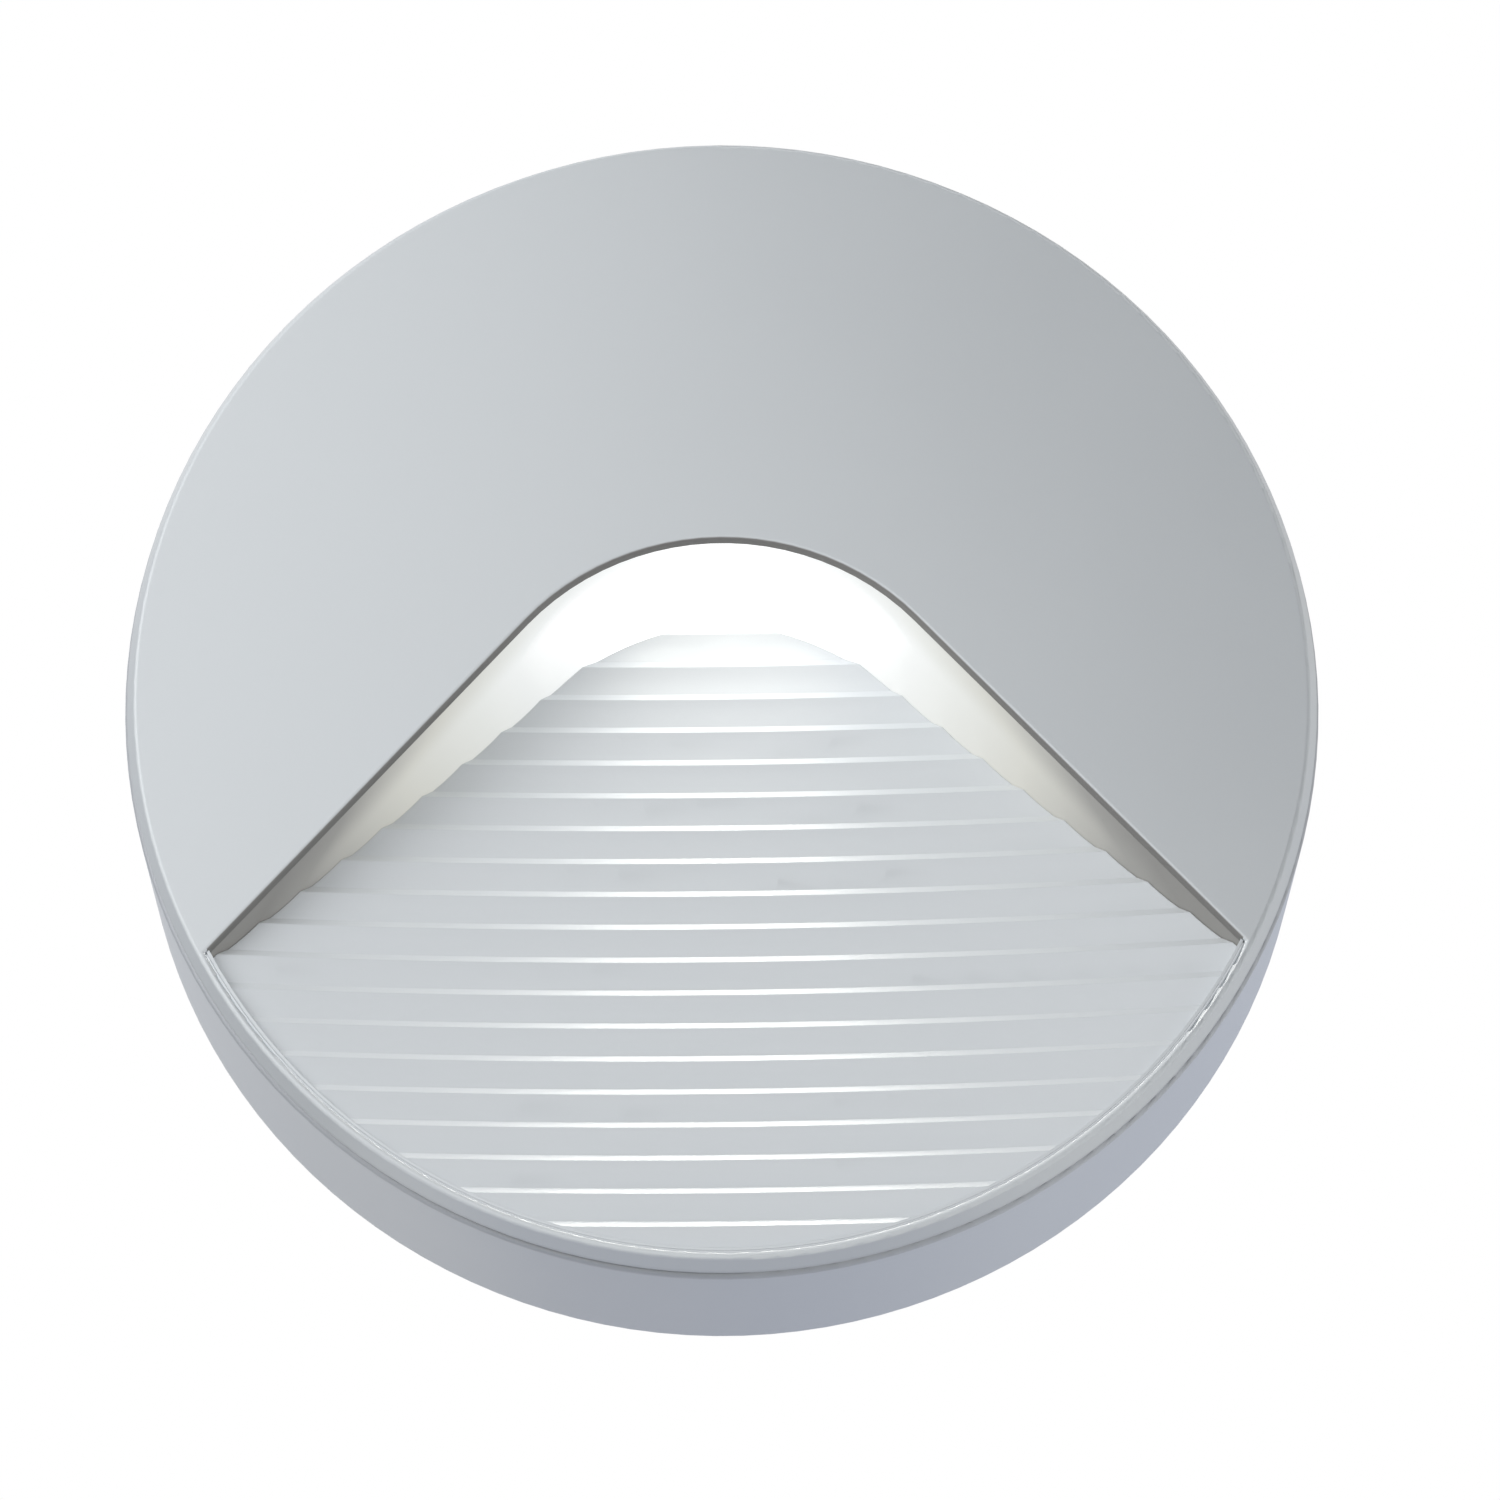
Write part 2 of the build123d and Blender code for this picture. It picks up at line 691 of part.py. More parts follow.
# Mains leads from the terminal block to the driver
lead_y = post_y - lead_height
lane_start = max(driver_top, block_top) + lane_rise
mains = []
for number in (0, 1):
    lane_z = lane_start + lane_pitch * number
    right_x = block_left + mains_inset + lead_pitch * number
    left_x = driver_right - mains_inset - lead_pitch * number
    mains.append(
        lead(
            [
                (right_x, lead_y, block_top),
                (right_x, lead_y, lane_z),
                (left_x, lead_y, lane_z),
                (left_x, lead_y, driver_top),
            ]
        )
    )
pieces["mains_leads"] = Compound(children=mains)

# LED leads from the driver to the board's pads
lead_low = pad_low - lead_radius
pad_reach = pad_start + pad_overlap
led_leads = []
for number, pad_y in enumerate(reversed(pad_places)):
    drop_x = -bracket_x - drop_gap - lane_pitch * number
    led_leads.append(
        lead(
            [
                (drop_x, lead_y, driver_low),
                (drop_x, lead_y, lead_low),
                (drop_x, pad_y, lead_low),
                (pad_reach, pad_y, lead_low),
            ]
        )
    )
pieces["led_leads"] = Compound(children=led_leads)

# Earth lead, its tag and screw
earth_y = post_y - earth_height
barrel_end = earth_x - tag_reach
barrel_x = barrel_end - barrel_length
earth_start = block_x + pole_pitch
pieces["earth_lead"] = lead(
    [
        (earth_start, earth_y, block_low),
        (earth_start, earth_y, earth_z),
        (barrel_x, earth_y, earth_z),
    ]
)
tag_front = post_y - tag_thickness
tag_low = earth_z - tag_width / 2
tag_high = earth_z + tag_width / 2
tag = rod(earth_x, earth_z, post_radius, post_y, tag_front)
tag += block(barrel_end - barrel_foot, earth_x, post_y, tag_front, tag_low, tag_high)
tag += block(barrel_end - barrel_foot, barrel_end, post_y, earth_y, tag_low, tag_high)
tag += cross_rod(earth_y, earth_z, lead_radius + barrel_wall, barrel_x, barrel_end)
tag -= rod(earth_x, earth_z, clear_hole, post_y + over, tag_front - over)
pieces["earth_tag"] = tag
earth_seat = Pos(earth_x, tag_front, earth_z)
pieces["earth_screw"] = earth_seat * Rot(90, 0, 0) * pan_screw(earth_screw_length)

os.makedirs("parts", exist_ok=True)
for name, shape in pieces.items():
    export_step(shape, f"parts/{name}.step")
    print(name, "volume", round(shape.volume, 1), "solids", len(shape.solids()))
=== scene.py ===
import math

import bpy
from mathutils import Matrix, Vector


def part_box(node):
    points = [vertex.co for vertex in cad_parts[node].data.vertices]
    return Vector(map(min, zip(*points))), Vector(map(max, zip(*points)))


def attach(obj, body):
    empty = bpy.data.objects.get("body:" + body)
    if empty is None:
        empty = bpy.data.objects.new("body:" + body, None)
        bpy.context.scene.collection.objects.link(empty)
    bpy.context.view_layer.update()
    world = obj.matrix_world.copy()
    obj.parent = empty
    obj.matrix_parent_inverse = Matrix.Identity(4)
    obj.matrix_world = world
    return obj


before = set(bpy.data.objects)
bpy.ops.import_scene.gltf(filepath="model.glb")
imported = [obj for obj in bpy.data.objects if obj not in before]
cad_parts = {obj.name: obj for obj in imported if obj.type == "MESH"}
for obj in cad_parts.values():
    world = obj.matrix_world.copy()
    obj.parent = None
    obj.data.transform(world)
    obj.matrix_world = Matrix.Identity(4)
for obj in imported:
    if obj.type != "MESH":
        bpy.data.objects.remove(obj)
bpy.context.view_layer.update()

bl_info = {
    "name": "Round wall light",
    "version": (1, 0, 0),
    "blender": (4, 5, 0),
    "location": "3D View > Sidebar > Wall light",
    "description": "Finishes, lamps and camera for a round outdoor wall light with a stepped ramp",
    "category": "Material",
}


# Values that a user may change


def colour(name, description, default):
    """One colour setting."""
    return bpy.props.FloatVectorProperty(
        name=name,
        description=description,
        subtype="COLOR",
        size=3,
        min=0.0,
        max=1.0,
        default=default,
    )


def number(name, description, default, **kind):
    """One number setting of any kind."""
    return bpy.props.FloatProperty(name=name, description=description, default=default, **kind)


def length(name, description, default):
    """One length setting, in metres."""
    return number(name, description, default, unit="LENGTH", precision=5)


def angle(name, description, default):
    """One angle setting, given in degrees."""
    return number(name, description, math.radians(default), unit="ROTATION")


def power(name, description, default):
    """One lamp power setting."""
    return number(name, description, default, unit="POWER", min=0.0)


def share(name, description, default):
    """One plain factor setting."""
    return number(name, description, default, subtype="FACTOR", min=0.0, max=10.0)


class WallLightColours(bpy.types.PropertyGroup):
    """Colours of the wall light's finishes, with painted light and shade among them."""

    paint: colour("Paint", "Silver grey paint of the cover", (0.603, 0.634, 0.659))
    # Painted light: the ramp's paint is the cover's paint made a little lighter, for the extra
    # light on the ramp.
    ramp: colour("Ramp paint", "Silver grey paint of the ramp", (0.630, 0.662, 0.690))
    # Painted light: the ring's paint is the cover's paint made bluer and a little darker, for the
    # bluish light from below on the side wall.
    ring: colour("Ring paint", "Silver grey paint of the housing ring", (0.582, 0.616, 0.664))
    # Painted shade: the paint on both sides of the joint darkens towards it, for the shade in the
    # gap of the joint.
    joint_painted_shade: colour("Groove", "Paint beside the joint of the housing", (0.380, 0.396, 0.420))
    # Painted shade: the diffuser's base colour is far darker than white plastic, so that the unlit
    # ends of its legs look shaded.
    opal_with_painted_shade: colour("Opal plastic", "Unlit colour of the diffuser", (0.170, 0.167, 0.160))
    # Painted shade: dark paint on the rounded edge round the scoop's opening, for the shade on
    # that edge.
    mouth_painted_shade: colour("Mouth edge", "Dark edge of the paint round the scoop", (0.200, 0.196, 0.190))
    silicone: colour("Silicone", "Clear seal behind the diffuser", (0.720, 0.730, 0.720))
    zinc: colour("Zinc", "Zinc plate on the diffuser clamps", (0.600, 0.615, 0.620))
    steel: colour("Screw steel", "Stainless screws", (0.560, 0.555, 0.540))
    plate: colour("Cast plate", "Coated casting behind the cover", (0.400, 0.410, 0.415))
    rubber: colour("Rubber", "Gasket and grommet", (0.026, 0.026, 0.028))
    aluminium: colour("Aluminium", "Bent sheet under the LED board", (0.700, 0.710, 0.720))
    board: colour("Board", "White coat of the LED board", (0.800, 0.800, 0.780))
    tin: colour("Tin", "Tinned pads on the LED board", (0.620, 0.620, 0.600))
    phosphor: colour("Phosphor", "Middle of each LED chip", (0.850, 0.640, 0.130))
    chip: colour("Chip frame", "White frame of each LED chip", (0.800, 0.790, 0.740))
    driver: colour("Driver case", "Moulded case of the driver", (0.730, 0.730, 0.710))
    driver_lid: colour("Driver lid", "Moulded lid of the driver", (0.620, 0.625, 0.615))
    terminal: colour("Terminal block", "Body of the terminal block", (0.420, 0.425, 0.420))
    live: colour("Live", "Lever and lead of the live pole", (0.130, 0.052, 0.022))
    neutral: colour("Neutral", "Lever and lead of the neutral pole", (0.030, 0.130, 0.420))
    earth: colour("Earth", "Lever and lead of the earth pole", (0.050, 0.260, 0.060))
    stripe: colour("Earth stripe", "Yellow stripe of the earth lead", (0.800, 0.600, 0.040))
    plus: colour("LED plus", "Red LED lead", (0.480, 0.030, 0.025))
    minus: colour("LED minus", "Black LED lead", (0.022, 0.022, 0.024))
    brass: colour("Brass", "Earth tag", (0.640, 0.470, 0.190))


class WallLightFinish(bpy.types.PropertyGroup):
    """Sizes of the finishes' detail and of the glow."""

    grain: length("Paint grain", "Size of the grain in the paint", 0.00035)
    patch: length("Tone patch", "Size of the slow changes of tone", 0.045)
    edge: length("Painted edge", "Radius of the paint over an edge", 0.00018)
    glow_half: length("Glow half width", "Half the length of the LED row", 0.026)
    glow_height: length("Glow height", "Height of the LED row over the middle", 0.0417)
    glow_reach: length("Glow reach", "Distance at which the diffuser stops glowing", 0.12)
    glow: share("Glow", "Strength of the diffuser's glow", 3.0)


class WallLightStage(bpy.types.PropertyGroup):
    """Camera and studio light."""

    distance: length("Camera distance", "Distance of the camera from the light", 11.0)
    width: length("View width", "Width of the view at the light", 0.27619)
    azimuth: angle("Camera azimuth", "Camera angle round the light", -0.3)
    elevation: angle("Camera elevation", "Camera angle over the light", -18.75)
    roll: angle("Camera roll", "Turn of the camera about its own axis", -0.75)
    aim_right: length("Aim right", "Shift of the aim to the right", 0.00517)
    aim_up: length("Aim up", "Shift of the aim upwards", -0.00915)
    floor: length("Floor", "Height of the floor under the light", -5.0)
    key: power("Key lamp", "Power of the large soft lamp at the left", 6.9)
    fill: power("Fill lamp", "Power of the soft lamp at the right", 2.5)
    led: power("LED lamp", "Power of the light from the diffuser on the ramp", 5.1)
    ambient: share("Ambient", "Brightness of the studio's walls", 0.35)


# Node helpers


def add(tree, kind, feeds=None, **settings):
    """Add a node, give it its settings, and link or set its inputs."""
    node = tree.nodes.new(kind)
    node.location = (190.0 * len(tree.nodes), 0.0)
    for name, value in settings.items():
        setattr(node, name, value)
    for key, value in (feeds or {}).items():
        if isinstance(value, bpy.types.NodeSocket):
            tree.links.new(value, node.inputs[key])
        else:
            node.inputs[key].default_value = value
    return node


def node_of(tree, kind):
    """The first node of one kind."""
    return next(node for node in tree.nodes if node.type == kind)


def calc(tree, operation, first, second=0.0, third=0.0):
    """The value of one Math node."""
    feeds = {0: first, 1: second, 2: third}
    return add(tree, "ShaderNodeMath", feeds, operation=operation).outputs[0]


def gap(tree, first, second):
    """How far two values lie apart."""
    return calc(tree, "ABSOLUTE", calc(tree, "SUBTRACT", first, second))


def diagonal(tree, first, second):
    """The distance that two distances at right angles make."""
    square = calc(tree, "MULTIPLY", second, second)
    return calc(tree, "SQRT", calc(tree, "MULTIPLY_ADD", first, first, square))


def stretch(tree, value, low, high, to_low=0.0, to_high=1.0):
    """A value carried smoothly from one range to another."""
    feeds = {
        "Value": value,
        "From Min": low,
        "From Max": high,
        "To Min": to_low,
        "To Max": to_high,
    }
    smooth = add(tree, "ShaderNodeMapRange", feeds, interpolation_type="SMOOTHSTEP")
    return smooth.outputs["Result"]


def blend(tree, factor, first, second):
    """Two colours mixed by a factor."""
    feeds = {0: factor, 6: first, 7: second}
    return add(tree, "ShaderNodeMix", feeds, data_type="RGBA").outputs[2]


def noise(tree, spot, size, detail):
    """Noise with features of one size."""
    feeds = {"Vector": spot, "Scale": calc(tree, "DIVIDE", 1.0, size), "Detail": detail}
    return add(tree, "ShaderNodeTexNoise", feeds).outputs["Fac"]


def toned(tree, base, brightness):
    """A colour made brighter or darker."""
    feeds = {"Value": brightness, "Color": base}
    return add(tree, "ShaderNodeHueSaturation", feeds).outputs[0]


def place(tree):
    """Where a point lies on its piece: the whole vector, and x, y and z."""
    spot = add(tree, "ShaderNodeTexCoord").outputs["Object"]
    split = add(tree, "ShaderNodeSeparateXYZ", {0: spot})
    return spot, split.outputs[0], split.outputs[1], split.outputs[2]


def round_place(tree):
    """The distance from the light's axis, and how far a surface turns from the front."""
    _, across, _, height = place(tree)
    normal = add(tree, "ShaderNodeNewGeometry").outputs["Normal"]
    facing = add(tree, "ShaderNodeSeparateXYZ", {0: normal})
    return diagonal(tree, across, height), facing.outputs[1]


# Reach, full width and strength of the painted shade beside the joint.
JOINT_OUTER, JOINT_INNER, JOINT_SHADE = 0.0024, 0.0006, 0.7


def joint_shade(tree, deep):
    """A mask of painted shade round the joint between cover and housing."""
    low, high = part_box("joint_gasket")
    away = gap(tree, deep, (low.y + high.y) / 2)
    return stretch(tree, away, JOINT_OUTER, JOINT_INNER, 0.0, JOINT_SHADE)


def opaque(rgb):
    """A colour setting with full alpha."""
    return (*rgb, 1.0)


# Node groups

FLOAT, COLOUR, VECTOR = "NodeSocketFloat", "NodeSocketColor", "NodeSocketVector"
MID_GREY = (0.5, 0.5, 0.5, 1.0)
EDGE_NONE, EDGE_FULL = 0.995, 0.80


def new_group(name, inputs, outputs):
    """An empty node group with its named sockets."""
    tree = bpy.data.node_groups.new(name, "ShaderNodeTree")
    for label, kind, default in inputs:
        socket = tree.interface.new_socket(label, in_out="INPUT", socket_type=kind)
        socket.default_value = default
    for label, kind in outputs:
        tree.interface.new_socket(label, in_out="OUTPUT", socket_type=kind)
    return tree, add(tree, "NodeGroupInput").outputs, add(tree, "NodeGroupOutput")


def coat_grain():
    """Node group: fine grain and slow tone changes of paint, plastic and rubber."""
    name = "Coat grain"
    if name in bpy.data.node_groups:
        return bpy.data.node_groups[name]
    tree, given, leave = new_group(
        name,
        (
            ("Colour", COLOUR, MID_GREY),
            ("Grain Size", FLOAT, 0.0004),
            ("Patch Size", FLOAT, 0.04),
            ("Grain Tone", FLOAT, 0.02),
            ("Patch Tone", FLOAT, 0.03),
            ("Roughness", FLOAT, 0.5),
            ("Roughness Change", FLOAT, 0.05),
        ),
        (("Colour", COLOUR), ("Roughness", FLOAT), ("Height", FLOAT)),
    )
    spot, _, _, _ = place(tree)
    fine = noise(tree, spot, given["Grain Size"], 2.0)
    patch = noise(tree, spot, given["Patch Size"], 3.0)
    fine_part = calc(tree, "MULTIPLY", calc(tree, "SUBTRACT", fine, 0.5), given["Grain Tone"])
    offset = calc(tree, "SUBTRACT", patch, 0.5)
    patch_part = calc(tree, "MULTIPLY_ADD", offset, given["Patch Tone"], fine_part)
    shown = toned(tree, given["Colour"], calc(tree, "ADD", patch_part, 1.0))
    rough = calc(tree, "MULTIPLY_ADD", offset, given["Roughness Change"], given["Roughness"])
    tree.links.new(shown, leave.inputs["Colour"])
    tree.links.new(rough, leave.inputs["Roughness"])
    tree.links.new(fine, leave.inputs["Height"])
    return tree


def drawn_lines():
    """Node group: lines that rolling, drawing or turning leaves on bare metal."""
    name = "Drawn lines"
    if name in bpy.data.node_groups:
        return bpy.data.node_groups[name]
    tree, given, leave = new_group(
        name,
        (
            ("Colour", COLOUR, MID_GREY),
            ("Line Size", FLOAT, 0.0002),
            ("Stretch", VECTOR, (1.0, 1.0, 1.0)),
            ("Tone", FLOAT, 0.1),
            ("Roughness", FLOAT, 0.35),
            ("Roughness Change", FLOAT, 0.15),
        ),
        (("Colour", COLOUR), ("Roughness", FLOAT), ("Height", FLOAT)),
    )
    spot, _, _, _ = place(tree)
    feeds = {0: spot, 1: given["Stretch"]}
    pulled = add(tree, "ShaderNodeVectorMath", feeds, operation="DIVIDE").outputs[0]
    lines = noise(tree, pulled, given["Line Size"], 3.0)
    offset = calc(tree, "SUBTRACT", lines, 0.5)
    shown = toned(tree, given["Colour"], calc(tree, "MULTIPLY_ADD", offset, given["Tone"], 1.0))
    rough = calc(tree, "MULTIPLY_ADD", offset, given["Roughness Change"], given["Roughness"])
    tree.links.new(shown, leave.inputs["Colour"])
    tree.links.new(rough, leave.inputs["Roughness"])
    tree.links.new(lines, leave.inputs["Height"])
    return tree


def soft_edge():
    """Node group: a rounded normal and a mask along the edges of a piece."""
    name = "Soft edge"
    if name in bpy.data.node_groups:
        return bpy.data.node_groups[name]
    tree, given, leave = new_group(
        name, (("Radius", FLOAT, 0.0002),), (("Mask", FLOAT), ("Normal", VECTOR))
    )
    rounded = add(tree, "ShaderNodeBevel", {"Radius": given["Radius"]}, samples=4).outputs[0]
    flat = add(tree, "ShaderNodeNewGeometry").outputs["Normal"]
    dot = add(tree, "ShaderNodeVectorMath", {0: rounded, 1: flat}, operation="DOT_PRODUCT")
    mask = stretch(tree, dot.outputs["Value"], EDGE_NONE, EDGE_FULL)
    tree.links.new(mask, leave.inputs["Mask"])
    tree.links.new(rounded, leave.inputs["Normal"])
    return tree


# Materials

EDGE_BRIGHT = 1.25


def new_material(name):
    """An empty material with its Principled shader."""
    material = bpy.data.materials.new(name)
    material.use_nodes = True
    tree = material.node_tree
    tree.nodes.clear()
    shader = add(tree, "ShaderNodeBsdfPrincipled")
    output = add(tree, "ShaderNodeOutputMaterial")
    tree.links.new(shader.outputs[0], output.inputs["Surface"])
    return material, tree, shader


def constants(shader, values):
    """Values that are the same all over the surface."""
    for name, value in values.items():
        shader.inputs[name].default_value = value


def rounded_edge(tree, radius):
    """The mask and the rounded normal along a piece's edges."""
    return add(tree, "ShaderNodeGroup", {"Radius": radius}, node_tree=soft_edge()).outputs


def bumped(tree, shader, height, depth, normal=None):
    """Surface relief from a height, over a rounded normal where one is given."""
    bump = add(tree, "ShaderNodeBump", {"Height": height, "Distance": depth, "Strength": 1.0})
    if normal is not None:
        tree.links.new(normal, bump.inputs["Normal"])
    tree.links.new(bump.outputs[0], shader.inputs["Normal"])


def coated(name, base, *, grain, patch, tones, roughness, change, depth, edge=0.0, **fixed):
    """A painted, moulded or rubber finish."""
    material, tree, shader = new_material(name)
    feeds = {
        "Colour": base(tree) if callable(base) else base,
        "Grain Size": grain,
        "Patch Size": patch,
        "Grain Tone": tones[0],
        "Patch Tone": tones[1],
        "Roughness": roughness,
        "Roughness Change": change,
    }
    coat = add(tree, "ShaderNodeGroup", feeds, node_tree=coat_grain()).outputs
    tree.links.new(coat["Colour"], shader.inputs["Base Color"])
    tree.links.new(coat["Roughness"], shader.inputs["Roughness"])
    normal = rounded_edge(tree, edge)["Normal"] if edge else None
    bumped(tree, shader, coat["Height"], depth, normal)
    constants(shader, fixed)
    return material


def bare_metal(name, base, *, line, pull, tone, roughness, change, depth, edge):
    """A rolled, drawn or turned metal finish, a little brighter on its edges."""
    material, tree, shader = new_material(name)
    feeds = {
        "Colour": base,
        "Line Size": line,
        "Stretch": pull,
        "Tone": tone,
        "Roughness": roughness,
        "Roughness Change": change,
    }
    drawn = add(tree, "ShaderNodeGroup", feeds, node_tree=drawn_lines()).outputs
    rim = rounded_edge(tree, edge)
    bright = tuple(min(1.0, EDGE_BRIGHT * part) for part in base[:3])
    shown = blend(tree, rim["Mask"], drawn["Colour"], opaque(bright))
    tree.links.new(shown, shader.inputs["Base Color"])
    tree.links.new(drawn["Roughness"], shader.inputs["Roughness"])
    bumped(tree, shader, drawn["Height"], depth, rim["Normal"])
    constants(shader, {"Metallic": 1.0})
    return material


def dress(material, *names):
    """Put one material on CAD nodes."""
    for name in names:
        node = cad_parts[name]
        node.data.materials.clear()
        node.data.materials.append(material)


# Operators


class WallLightOperator:
    """Settings that every operator of the wall light reads."""

    bl_options = {"REGISTER", "UNDO"}

    def colours(self, context):
        return context.scene.wall_light_colours

    def finish(self, context):
        return context.scene.wall_light_finish


class WALLLIGHT_OT_front_cover(WallLightOperator, bpy.types.Operator):
    """Paint the front cover silver grey, with painted shade round the scoop's opening and beside
    the joint
    """

    bl_idname = "wall_light.front_cover"
    bl_label = "Front cover"

    # Where the painted shade on the rounded edge round the scoop's opening lies.
    MOUTH_RADIUS, MOUTH_BACK = 0.1063, -0.0475
    MOUTH_TILT, MOUTH_SOFT = -0.97, 0.2

    def execute(self, context):
        shades, size = self.colours(context), self.finish(context)

        # Painted shade: cover faces near the scoop's opening that turn away from the front take
        # the dark edge paint, for the shade on that rounded edge.
        def cover_colour(tree):
            _, _, deep, _ = place(tree)
            radius, facing = round_place(tree)
            before = calc(tree, "LESS_THAN", deep, self.MOUTH_BACK)
            turned = stretch(tree, facing, self.MOUTH_TILT, self.MOUTH_TILT + self.MOUTH_SOFT)
            within = calc(tree, "LESS_THAN", radius, self.MOUTH_RADIUS)
            mouth_painted_shade = calc(tree, "MULTIPLY", calc(tree, "MULTIPLY", before, turned), within)
            # Painted shade beside the joint.
            shade = joint_shade(tree, deep)
            outside = blend(tree, shade, opaque(shades.paint), opaque(shades.joint_painted_shade))
            return blend(tree, mouth_painted_shade, outside, opaque(shades.mouth_painted_shade))

        paint = coated(
            "cover_paint",
            cover_colour,
            grain=size.grain,
            patch=size.patch,
            tones=(0.02, 0.025),
            roughness=0.42,
            change=0.06,
            depth=0.000004,
            edge=size.edge,
            Metallic=0.35,
        )
        dress(paint, "front_cover")
        return {"FINISHED"}


class WALLLIGHT_OT_stepped_ramp(WallLightOperator, bpy.types.Operator):
    """Paint the stepped ramp a little lighter than the cover as painted light, and bridge its seam
    along the lower rim
    """

    bl_idname = "wall_light.stepped_ramp"
    bl_label = "Stepped ramp"

    BEAD_RADIUS, BEAD_DEPTH, BEAD_HALF = 0.10682, -0.04940, 0.00035
    BEAD_END, BEAD_STEPS, BEAD_SIDES = math.radians(63.2), 180, 12

    def bead(self, context, paint):
        """The paint that bridges the seam between the ramp and the lower rim."""
        points, faces = [], []
        for step in range(self.BEAD_STEPS + 1):
            turn = self.BEAD_END * (2 * step / self.BEAD_STEPS - 1)
            for side in range(self.BEAD_SIDES):
                about = math.tau * side / self.BEAD_SIDES
                radius = self.BEAD_RADIUS + self.BEAD_HALF * math.cos(about)
                deep = self.BEAD_DEPTH + self.BEAD_HALF * math.sin(about)
                points.append((radius * math.sin(turn), deep, -radius * math.cos(turn)))
        for step in range(self.BEAD_STEPS):
            here, there = step * self.BEAD_SIDES, (step + 1) * self.BEAD_SIDES
            for side in range(self.BEAD_SIDES):
                after = (side + 1) % self.BEAD_SIDES
                faces.append((here + side, there + side, there + after, here + after))
        last = self.BEAD_STEPS * self.BEAD_SIDES
        faces.append(tuple(range(self.BEAD_SIDES)))
        faces.append(tuple(reversed(range(last, last + self.BEAD_SIDES))))
        mesh = bpy.data.meshes.new("seam_paint")
        mesh.from_pydata(points, [], faces)
        mesh.shade_smooth()
        mesh.materials.append(paint)
        bead = bpy.data.objects.new("seam_paint", mesh)
        context.scene.collection.objects.link(bead)
        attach(bead, "cover")

    def execute(self, context):
        size = self.finish(context)
        # Painted light: the ramp's paint is a lighter copy of the cover's paint.
        paint = coated(
            "ramp_paint",
            opaque(self.colours(context).ramp),
            grain=size.grain,
            patch=size.patch,
            tones=(0.02, 0.03),
            roughness=0.45,
            change=0.06,
            depth=0.000004,
            edge=size.edge,
            Metallic=0.3,
        )
        dress(paint, "stepped_ramp")
        self.bead(context, paint)
        return {"FINISHED"}


class WALLLIGHT_OT_diffuser(WallLightOperator, bpy.types.Operator):
    """Make the diffuser glow in front of the LED row, dimmed near the scoop's opening as painted
    shade, over a base colour darkened as painted shade
    """

    bl_idname = "wall_light.diffuser"
    bl_label = "Diffuser"

    GLOW = (
        (0.00, (1.000, 0.975, 0.910)),
        (0.10, (1.000, 0.975, 0.910)),
        (0.15, (0.390, 0.392, 0.392)),
        (0.19, (0.282, 0.288, 0.290)),
        (0.24, (0.236, 0.243, 0.243)),
        (0.32, (0.206, 0.212, 0.206)),
        (0.48, (0.158, 0.159, 0.146)),
        (0.70, (0.053, 0.053, 0.051)),
        (0.84, (0.031, 0.031, 0.030)),
        (1.00, (0.031, 0.031, 0.030)),
    )
    # The glow of the lit diffuser dims towards its front edge, next to the scoop's opening, and
    # brightens deeper in: painted shade along that edge.
    DEEP, DEEP_SHIFT = -0.0415, -0.04
    SHALLOW, SHALLOW_SHIFT = -0.0485, 0.08
    SIDEWAYS = 0.004

    def execute(self, context):
        size = self.finish(context)
        opal_with_painted_shade = coated(
            "opal_plastic",
            opaque(self.colours(context).opal_with_painted_shade),
            grain=0.0006,
            patch=0.02,
            tones=(0.01, 0.03),
            roughness=0.34,
            change=0.05,
            depth=0.000003,
        )
        tree = opal_with_painted_shade.node_tree
        shader = node_of(tree, "BSDF_PRINCIPLED")
        _, across, deep, height = place(tree)
        aside = calc(tree, "ABSOLUTE", calc(tree, "ADD", across, self.SIDEWAYS))
        beside = calc(tree, "MAXIMUM", calc(tree, "SUBTRACT", aside, size.glow_half))
        below = calc(tree, "SUBTRACT", height, size.glow_height)
        away = calc(tree, "DIVIDE", diagonal(tree, beside, below), size.glow_reach)
        # Painted shade: the glow dims towards the diffuser's front edge beside the scoop's
        # opening.
        glow_painted_shade = stretch(
            tree, deep, self.DEEP, self.SHALLOW, self.DEEP_SHIFT, self.SHALLOW_SHIFT
        )
        ramp = add(tree, "ShaderNodeValToRGB", {0: calc(tree, "ADD", away, glow_painted_shade)})
        stops = ramp.color_ramp.elements
        while len(stops) < len(self.GLOW):
            stops.new(1.0)
        for stop, (position, tone) in zip(stops, self.GLOW):
            stop.position = position
            stop.color = opaque(tone)
        tree.links.new(ramp.outputs["Color"], shader.inputs["Emission Color"])
        constants(shader, {"Emission Strength": size.glow})
        dress(opal_with_painted_shade, "diffuser")
        return {"FINISHED"}


